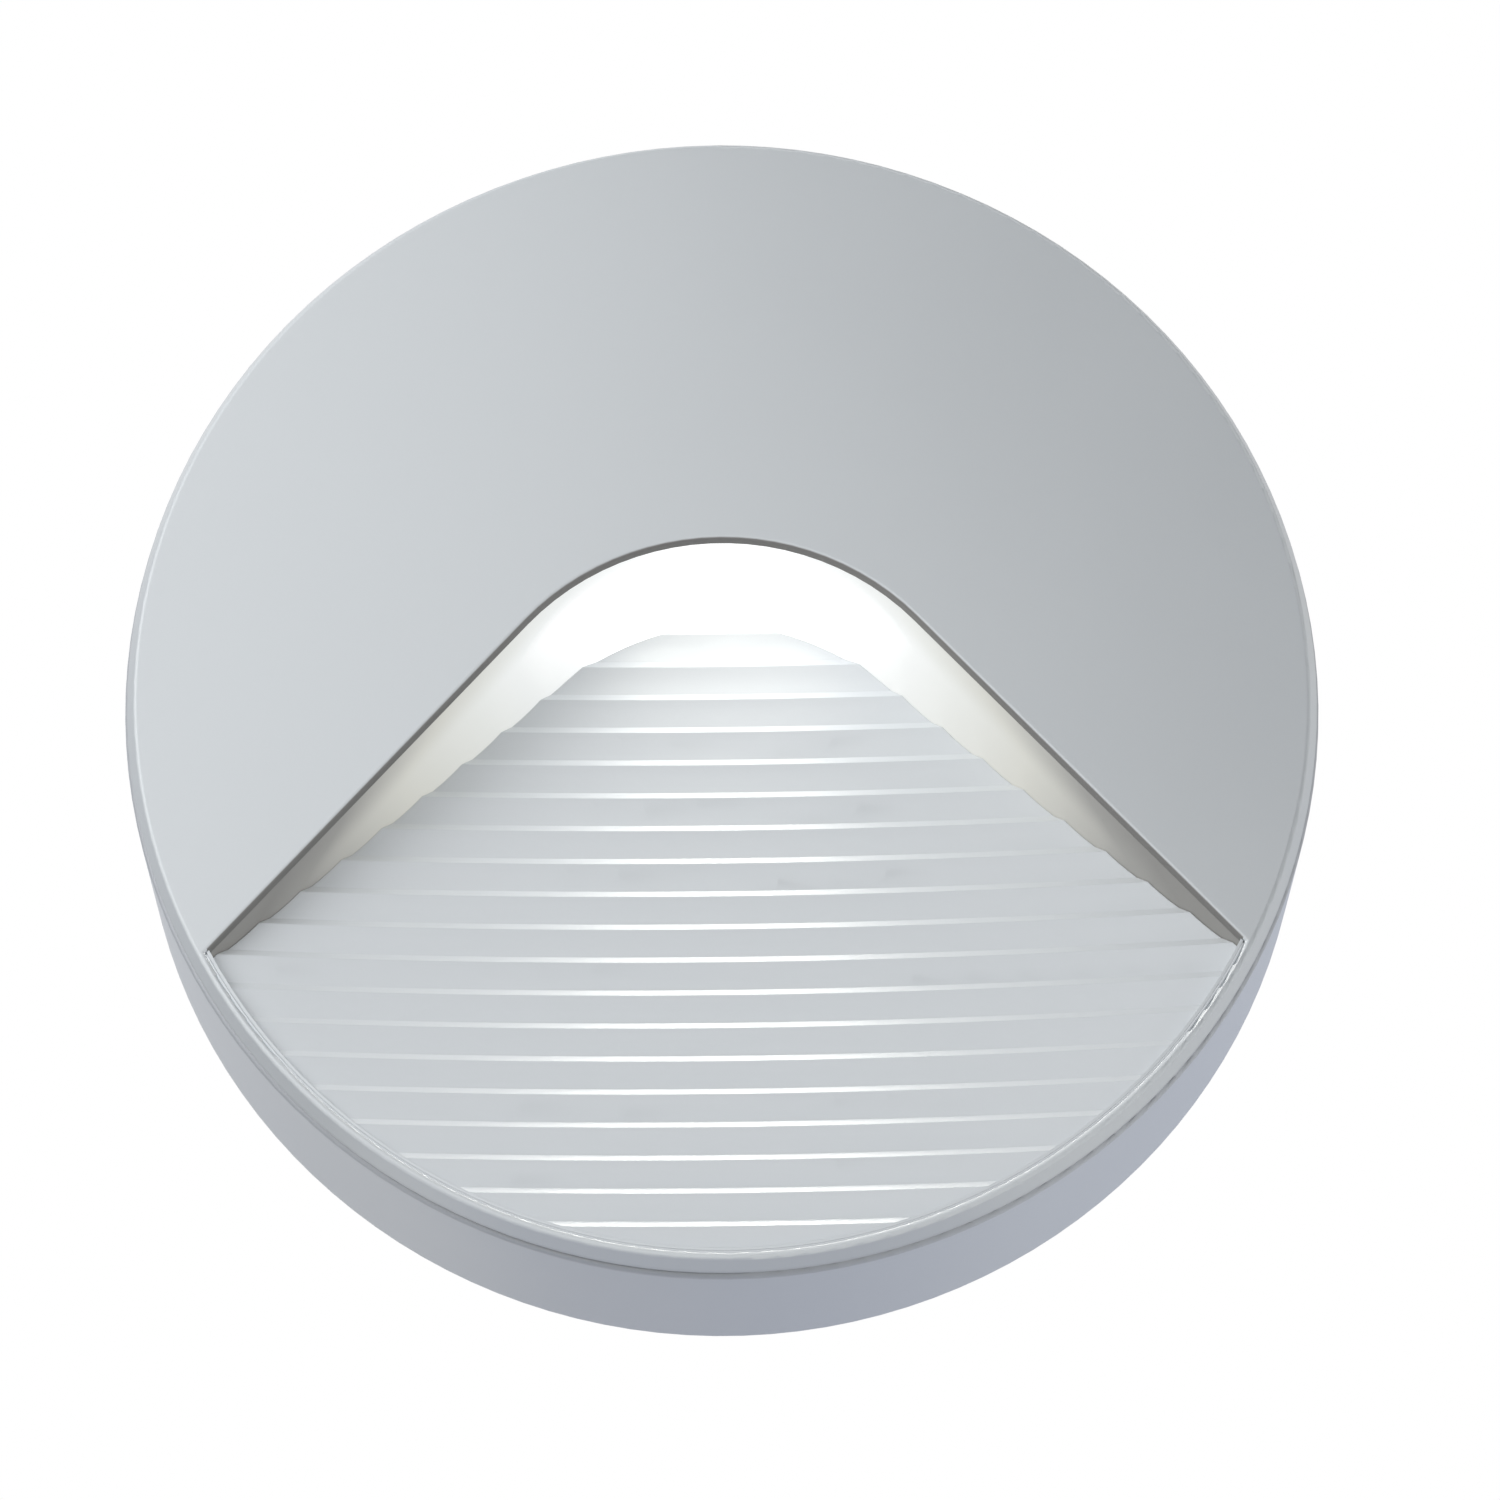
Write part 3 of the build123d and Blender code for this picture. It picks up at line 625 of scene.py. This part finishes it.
class WALLLIGHT_OT_seals(WallLightOperator, bpy.types.Operator):
    """Give the silicone seal, the gasket and the grommet their rubber"""

    bl_idname = "wall_light.seals"
    bl_label = "Seals"

    def execute(self, context):
        shades = self.colours(context)
        silicone = coated(
            "clear_silicone",
            opaque(shades.silicone),
            grain=0.0008,
            patch=0.01,
            tones=(0.02, 0.06),
            roughness=0.38,
            change=0.1,
            depth=0.000006,
            **{"Subsurface Weight": 0.2, "Subsurface Scale": 0.002},
        )
        gasket = coated(
            "seal_rubber",
            opaque(shades.rubber),
            grain=0.0005,
            patch=0.03,
            tones=(0.3, 0.35),
            roughness=0.72,
            change=0.15,
            depth=0.00002,
        )
        grommet = coated(
            "grommet_rubber",
            opaque(shades.rubber),
            grain=0.0004,
            patch=0.008,
            tones=(0.2, 0.3),
            roughness=0.55,
            change=0.15,
            depth=0.00001,
        )
        dress(silicone, "diffuser_seal")
        dress(gasket, "joint_gasket")
        dress(grommet, "cable_grommet")
        return {"FINISHED"}


class WALLLIGHT_OT_clamps(WallLightOperator, bpy.types.Operator):
    """Give the diffuser clamps a zinc plated finish"""

    bl_idname = "wall_light.clamps"
    bl_label = "Diffuser clamps"

    def execute(self, context):
        zinc = bare_metal(
            "zinc_steel",
            opaque(self.colours(context).zinc),
            line=0.0012,
            pull=(1.0, 1.0, 3.0),
            tone=0.25,
            roughness=0.36,
            change=0.22,
            depth=0.000004,
            edge=0.00015,
        )
        dress(zinc, "diffuser_clamps")
        return {"FINISHED"}


class WALLLIGHT_OT_screws(WallLightOperator, bpy.types.Operator):
    """Give the screws a turned steel finish"""

    bl_idname = "wall_light.screws"
    bl_label = "Screws"

    def execute(self, context):
        steel = bare_metal(
            "screw_steel",
            opaque(self.colours(context).steel),
            line=0.00018,
            pull=(1.0, 6.0, 1.0),
            tone=0.2,
            roughness=0.3,
            change=0.2,
            depth=0.000005,
            edge=0.00012,
        )
        dress(
            steel,
            "clamp_screws",
            "bracket_screws",
            "board_screws",
            "driver_screws",
            "terminal_screws",
            "earth_screw",
            "grub_screw_left",
            "grub_screw_right",
        )
        return {"FINISHED"}


class WALLLIGHT_OT_housing(WallLightOperator, bpy.types.Operator):
    """Paint the housing ring like the cover, with painted bluish light from below and painted
    shade by the joint, and coat the base plate
    """

    bl_idname = "wall_light.housing"
    bl_label = "Housing"

    def execute(self, context):
        shades, size = self.colours(context), self.finish(context)

        # The ring's paint, which holds painted bluish light from below, darkened towards the joint
        # as painted shade.
        def ring_colour(tree):
            _, _, deep, _ = place(tree)
            shade = joint_shade(tree, deep)
            return blend(tree, shade, opaque(shades.ring), opaque(shades.joint_painted_shade))

        paint = coated(
            "housing_paint",
            ring_colour,
            grain=size.grain,
            patch=size.patch,
            tones=(0.03, 0.04),
            roughness=0.45,
            change=0.06,
            depth=0.000005,
            edge=size.edge,
            Metallic=0.3,
        )
        cast = coated(
            "plate_metal",
            opaque(shades.plate),
            grain=0.0009,
            patch=0.03,
            tones=(0.16, 0.22),
            roughness=0.55,
            change=0.2,
            depth=0.00004,
            edge=0.00025,
            Metallic=0.6,
        )
        dress(paint, "housing_ring")
        dress(cast, "base_plate")
        return {"FINISHED"}


class WALLLIGHT_OT_led_board(WallLightOperator, bpy.types.Operator):
    """Dress the LED bracket, board and chips"""

    bl_idname = "wall_light.led_board"
    bl_label = "LED board"

    CHIP_PITCH, CHIP_ROW, CHIP_WINDOW = 0.0096, 0.010, 0.00105
    PAD_SKIN = 0.00001

    def execute(self, context):
        shades = self.colours(context)
        rolled = bare_metal(
            "bare_aluminium",
            opaque(shades.aluminium),
            line=0.00025,
            pull=(40.0, 1.0, 1.0),
            tone=0.12,
            roughness=0.34,
            change=0.16,
            depth=0.000003,
            edge=0.0002,
        )
        dress(rolled, "led_bracket")

        low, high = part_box("led_chips")
        middle = (low + high) / 2

        def board_colour(tree):
            _, _, _, height = place(tree)
            under = calc(tree, "LESS_THAN", height, high.z - self.PAD_SKIN)
            return blend(tree, under, opaque(shades.board), opaque(shades.tin))

        def chip_colour(tree):
            _, across, deep, _ = place(tree)
            along = calc(tree, "SUBTRACT", across, middle.x)
            column = calc(tree, "PINGPONG", along, self.CHIP_PITCH)
            to_next = calc(tree, "SUBTRACT", self.CHIP_PITCH, column)
            off_column = calc(tree, "MINIMUM", column, to_next)
            off_row = gap(tree, gap(tree, deep, middle.y), self.CHIP_ROW / 2)
            away = diagonal(tree, off_column, off_row)
            window = calc(tree, "LESS_THAN", away, self.CHIP_WINDOW)
            return blend(tree, window, opaque(shades.chip), opaque(shades.phosphor))

        board = coated(
            "board_white",
            board_colour,
            grain=0.0003,
            patch=0.012,
            tones=(0.03, 0.06),
            roughness=0.38,
            change=0.12,
            depth=0.000004,
        )
        chips = coated(
            "led_phosphor",
            chip_colour,
            grain=0.0002,
            patch=0.004,
            tones=(0.06, 0.05),
            roughness=0.4,
            change=0.1,
            depth=0.000004,
        )
        dress(board, "led_board")
        dress(chips, "led_chips")
        return {"FINISHED"}


class WALLLIGHT_OT_driver(WallLightOperator, bpy.types.Operator):
    """Dress the driver's case and lid in moulded plastic"""

    bl_idname = "wall_light.driver"
    bl_label = "Driver"

    def execute(self, context):
        shades = self.colours(context)
        for node, name, base, roughness in (
            ("driver_case", "driver_plastic", shades.driver, 0.5),
            ("driver_lid", "driver_lid_plastic", shades.driver_lid, 0.46),
        ):
            plastic = coated(
                name,
                opaque(base),
                grain=0.0005,
                patch=0.015,
                tones=(0.03, 0.05),
                roughness=roughness,
                change=0.1,
                depth=0.00001,
                edge=0.0002,
            )
            dress(plastic, node)
        return {"FINISHED"}


class WALLLIGHT_OT_terminals(WallLightOperator, bpy.types.Operator):
    """Dress the terminal block and its three levers"""

    bl_idname = "wall_light.terminals"
    bl_label = "Terminals"

    def execute(self, context):
        shades = self.colours(context)
        block = coated(
            "terminal_plastic",
            opaque(shades.terminal),
            grain=0.0004,
            patch=0.012,
            tones=(0.05, 0.06),
            roughness=0.42,
            change=0.1,
            depth=0.000008,
            edge=0.0002,
        )
        dress(block, "terminal_block")
        for node, name, base in (
            ("lever_live", "lever_brown", shades.live),
            ("lever_earth", "lever_green", shades.earth),
            ("lever_neutral", "lever_blue", shades.neutral),
        ):
            lever = coated(
                name,
                opaque(base),
                grain=0.0003,
                patch=0.006,
                tones=(0.06, 0.1),
                roughness=0.34,
                change=0.1,
                depth=0.000004,
                edge=0.0002,
            )
            dress(lever, node)
        return {"FINISHED"}


class WALLLIGHT_OT_leads(WallLightOperator, bpy.types.Operator):
    """Colour the leads and the earth tag"""

    bl_idname = "wall_light.leads"
    bl_label = "Leads"

    STRIPE, STRIPE_RATIO = 0.0011, 2.6
    LANE_EDGE, PAD_EDGE = 0.0025, 0.0034

    def execute(self, context):
        shades = self.colours(context)
        low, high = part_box("mains_leads")
        led_low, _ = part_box("led_leads")

        def mains_colour(tree):
            _, across, _, height = place(tree)
            middle, half = (low.x + high.x) / 2, (high.x - low.x) / 2 - self.PAD_EDGE
            beside = calc(tree, "GREATER_THAN", gap(tree, across, middle), half)
            above = calc(tree, "GREATER_THAN", height, high.z - self.LANE_EDGE)
            outer = calc(tree, "MAXIMUM", beside, above)
            return blend(tree, outer, opaque(shades.live), opaque(shades.neutral))

        def led_colour(tree):
            _, across, deep, _ = place(tree)
            beside = calc(tree, "LESS_THAN", across, led_low.x + self.LANE_EDGE)
            before = calc(tree, "LESS_THAN", deep, led_low.y + self.PAD_EDGE)
            outer = calc(tree, "MAXIMUM", beside, before)
            return blend(tree, outer, opaque(shades.plus), opaque(shades.minus))

        def earth_colour(tree):
            _, across, deep, height = place(tree)
            slant = calc(tree, "ADD", calc(tree, "ADD", across, deep), height)
            wave = calc(tree, "PINGPONG", slant, self.STRIPE)
            band = calc(tree, "LESS_THAN", wave, self.STRIPE / self.STRIPE_RATIO)
            return blend(tree, band, opaque(shades.earth), opaque(shades.stripe))

        for node, name, base in (
            ("mains_leads", "lead_mains", mains_colour),
            ("led_leads", "lead_led", led_colour),
            ("earth_lead", "lead_earth", earth_colour),
        ):
            lead = coated(
                name,
                base,
                grain=0.0004,
                patch=0.006,
                tones=(0.05, 0.08),
                roughness=0.36,
                change=0.1,
                depth=0.000005,
            )
            dress(lead, node)
        brass = bare_metal(
            "tag_brass",
            opaque(shades.brass),
            line=0.0002,
            pull=(8.0, 1.0, 1.0),
            tone=0.2,
            roughness=0.28,
            change=0.2,
            depth=0.000003,
            edge=0.0001,
        )
        dress(brass, "earth_tag")
        return {"FINISHED"}


# Stage


def aim_axes(stage):
    """The camera's right, up and back directions."""
    back = Vector(
        (
            math.sin(stage.azimuth) * math.cos(stage.elevation),
            -math.cos(stage.azimuth) * math.cos(stage.elevation),
            math.sin(stage.elevation),
        )
    )
    level = (-back).cross(Vector((0.0, 0.0, 1.0))).normalized()
    upright = level.cross(-back)
    right = math.cos(stage.roll) * level + math.sin(stage.roll) * upright
    up = math.cos(stage.roll) * upright - math.sin(stage.roll) * level
    return right, up, back


def soft_lamp(name, place_at, look_at, size, watts, glossy=False):
    """A rectangular soft lamp."""
    lamp = bpy.data.lights.new(name, "AREA")
    lamp.shape = "RECTANGLE"
    lamp.size, lamp.size_y = size
    lamp.energy = watts
    thing = bpy.data.objects.new(name, lamp)
    thing.location = place_at
    aim = Vector(look_at) - Vector(place_at)
    thing.rotation_euler = aim.to_track_quat("-Z", "Y").to_euler()
    thing.visible_camera = False
    thing.visible_glossy = glossy
    bpy.context.scene.collection.objects.link(thing)
    return thing


def background_mix(tree):
    """One for camera, glossy and transmission rays, and nought for the rest."""
    path = add(tree, "ShaderNodeLightPath").outputs
    seen = calc(tree, "MAXIMUM", path["Is Camera Ray"], path["Is Glossy Ray"])
    return calc(tree, "MAXIMUM", seen, path["Is Transmission Ray"])


class WALLLIGHT_OT_stage(WallLightOperator, bpy.types.Operator):
    """Set the floor, the studio light and the camera"""

    bl_idname = "wall_light.stage"
    bl_label = "Stage"

    WHITE = (1.0, 1.0, 1.0, 1.0)
    MIDDLE, FACE = (0.0, -0.03, 0.0), (0.0, -0.05, 0.0)
    KEY_AT, KEY_SIZE = (-0.58, -0.64, 0.22), (0.6, 0.7)
    FILL_AT, FILL_SIZE = (0.85, -0.22, -0.45), (0.6, 0.8)
    LED_AT, LED_AIM = (-0.0075, -0.0390, 0.0232), (-0.0075, -0.0390, -0.10)
    LED_SIZE, LED_TINT = (0.056, 0.014), (1.0, 0.955, 0.86)
    FLOOR_REACH, FLOOR_TONE = 40.0, (0.82, 0.82, 0.81)
    SENSOR = 36.0
    CARDS = {
        "right_card": (
            (0.10, 0.11, 0.13),
            ((0.10, -0.3, -0.02), (0.70, -0.3, -0.02), (0.70, -0.3, 0.45), (-0.13, -0.3, 0.45)),
        ),
        "low_card": (
            (0.64, 0.67, 0.78),
            ((-0.25, -0.2, -0.35), (0.24, -0.2, -0.35), (0.24, 1.5, -0.35), (-0.25, 1.5, -0.35)),
        ),
        "back_card": (
            (0.60, 0.64, 0.76),
            ((0.0, 0.9, -0.35), (0.9, 0.9, -0.35), (0.9, 0.9, 0.30), (0.0, 0.9, 0.30)),
        ),
        "left_card": (
            (0.34, 0.36, 0.40),
            ((-0.6, 0.05, -0.5), (-0.6, 0.75, -0.5), (-0.6, 0.75, 0.5), (-0.6, 0.05, 0.5)),
        ),
    }

    def execute(self, context):
        stage = context.scene.wall_light_stage
        self.floor(context, stage)
        self.world(context, stage)
        for name, (tone, corners) in self.CARDS.items():
            self.card(context, name, corners, tone)
        key = soft_lamp("key_lamp", self.KEY_AT, self.MIDDLE, self.KEY_SIZE, stage.key)
        fill = soft_lamp("fill_lamp", self.FILL_AT, self.MIDDLE, self.FILL_SIZE, stage.fill)
        led = self.led_lamp(stage)
        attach(led, "cover")
        self.camera(context, stage)
        context.scene.view_settings.view_transform = "Standard"
        return {"FINISHED"}

    def flat_sheet(self, context, name, corners):
        """A plain sheet with four corners."""
        mesh = bpy.data.meshes.new(name)
        mesh.from_pydata(corners, [], [(0, 1, 2, 3)])
        sheet = bpy.data.objects.new(name, mesh)
        context.scene.collection.objects.link(sheet)
        return sheet

    def floor(self, context, stage):
        """The pale floor, which is plain white where it is seen."""
        far = self.FLOOR_REACH
        corners = ((-far, -far, 0.0), (far, -far, 0.0), (far, far, 0.0), (-far, far, 0.0))
        floor = self.flat_sheet(context, "floor", corners)
        floor.location.z = stage.floor
        pale = coated(
            "pale_floor",
            opaque(self.FLOOR_TONE),
            grain=0.004,
            patch=1.5,
            tones=(0.02, 0.03),
            roughness=0.8,
            change=0.05,
            depth=0.0002,
        )
        tree = pale.node_tree
        shader, output = node_of(tree, "BSDF_PRINCIPLED"), node_of(tree, "OUTPUT_MATERIAL")
        white = add(tree, "ShaderNodeEmission", {"Color": self.WHITE, "Strength": 1.0})
        feeds = {0: background_mix(tree), 1: shader.outputs[0], 2: white.outputs[0]}
        lit = add(tree, "ShaderNodeMixShader", feeds)
        tree.links.new(lit.outputs[0], output.inputs["Surface"])
        floor.data.materials.append(pale)

    def world(self, context, stage):
        """Studio walls that are plain white where they are seen."""
        world = bpy.data.worlds.new("studio")
        world.use_nodes = True
        tree = world.node_tree
        tree.nodes.clear()
        level = stage.ambient
        strength = calc(tree, "MULTIPLY_ADD", background_mix(tree), 1.0 - level, level)
        wall = add(tree, "ShaderNodeBackground", {"Color": self.WHITE, "Strength": strength})
        output = add(tree, "ShaderNodeOutputWorld")
        tree.links.new(wall.outputs[0], output.inputs["Surface"])
        context.scene.world = world

    def card(self, context, name, corners, tone):
        """A plain card which only the light's gloss shows."""
        card = self.flat_sheet(context, name, corners)
        paper = bpy.data.materials.new(name)
        paper.use_nodes = True
        tree = paper.node_tree
        tree.nodes.clear()
        lit = add(tree, "ShaderNodeEmission", {"Color": opaque(tone), "Strength": 1.0})
        output = add(tree, "ShaderNodeOutputMaterial")
        tree.links.new(lit.outputs[0], output.inputs["Surface"])
        card.data.materials.append(paper)
        card.visible_camera = False
        card.visible_diffuse = False
        card.visible_transmission = False
        card.visible_volume_scatter = False
        card.visible_shadow = False

    def led_lamp(self, stage):
        """The LED row's light on the ramp, even over its whole length."""
        led = soft_lamp(
            "led_lamp", self.LED_AT, self.LED_AIM, self.LED_SIZE, stage.led, glossy=True
        )
        led.data.use_nodes = True
        tree = led.data.node_tree
        emission = node_of(tree, "EMISSION")
        emission.inputs["Color"].default_value = opaque(self.LED_TINT)
        reach = add(tree, "ShaderNodeLightFalloff", {"Strength": 1.0})
        tree.links.new(reach.outputs["Constant"], emission.inputs["Strength"])
        return led

    def camera(self, context, stage):
        """The camera at the photograph's viewing angle."""
        right, up, back = aim_axes(stage)
        middle = Vector(self.FACE) + stage.aim_right * right + stage.aim_up * up
        data = bpy.data.cameras.new("camera")
        data.sensor_width = self.SENSOR
        data.lens = data.sensor_width * stage.distance / stage.width
        camera = bpy.data.objects.new("camera", data)
        turn = Matrix((right, up, back)).transposed().to_4x4()
        camera.matrix_world = Matrix.Translation(middle + stage.distance * back) @ turn
        context.scene.collection.objects.link(camera)
        context.scene.camera = camera


OPERATORS = (
    WALLLIGHT_OT_front_cover,
    WALLLIGHT_OT_stepped_ramp,
    WALLLIGHT_OT_diffuser,
    WALLLIGHT_OT_seals,
    WALLLIGHT_OT_clamps,
    WALLLIGHT_OT_screws,
    WALLLIGHT_OT_housing,
    WALLLIGHT_OT_led_board,
    WALLLIGHT_OT_driver,
    WALLLIGHT_OT_terminals,
    WALLLIGHT_OT_leads,
    WALLLIGHT_OT_stage,
)


class WALLLIGHT_PT_sidebar(bpy.types.Panel):
    """Lists the wall light's operators and settings"""

    bl_idname = "WALLLIGHT_PT_sidebar"
    bl_label = "Wall light"
    bl_space_type = "VIEW_3D"
    bl_region_type = "UI"
    bl_category = "Wall light"

    def draw(self, context):
        scene = context.scene
        for operator in OPERATORS:
            self.layout.operator(operator.bl_idname)
        for group in (scene.wall_light_colours, scene.wall_light_finish, scene.wall_light_stage):
            for name in group.__annotations__:
                self.layout.prop(group, name)


CLASSES = (WallLightColours, WallLightFinish, WallLightStage, *OPERATORS, WALLLIGHT_PT_sidebar)


def register():
    for kind in CLASSES:
        bpy.utils.register_class(kind)
    bpy.types.Scene.wall_light_colours = bpy.props.PointerProperty(type=WallLightColours)
    bpy.types.Scene.wall_light_finish = bpy.props.PointerProperty(type=WallLightFinish)
    bpy.types.Scene.wall_light_stage = bpy.props.PointerProperty(type=WallLightStage)


def unregister():
    del bpy.types.Scene.wall_light_stage
    del bpy.types.Scene.wall_light_finish
    del bpy.types.Scene.wall_light_colours
    for kind in reversed(CLASSES):
        bpy.utils.unregister_class(kind)


def main():
    register()
    bpy.ops.wall_light.front_cover()
    bpy.ops.wall_light.stepped_ramp()
    bpy.ops.wall_light.diffuser()
    bpy.ops.wall_light.seals()
    bpy.ops.wall_light.clamps()
    bpy.ops.wall_light.screws()
    bpy.ops.wall_light.housing()
    bpy.ops.wall_light.led_board()
    bpy.ops.wall_light.driver()
    bpy.ops.wall_light.terminals()
    bpy.ops.wall_light.leads()
    bpy.ops.wall_light.stage()


if __name__ == "__main__":
    main()
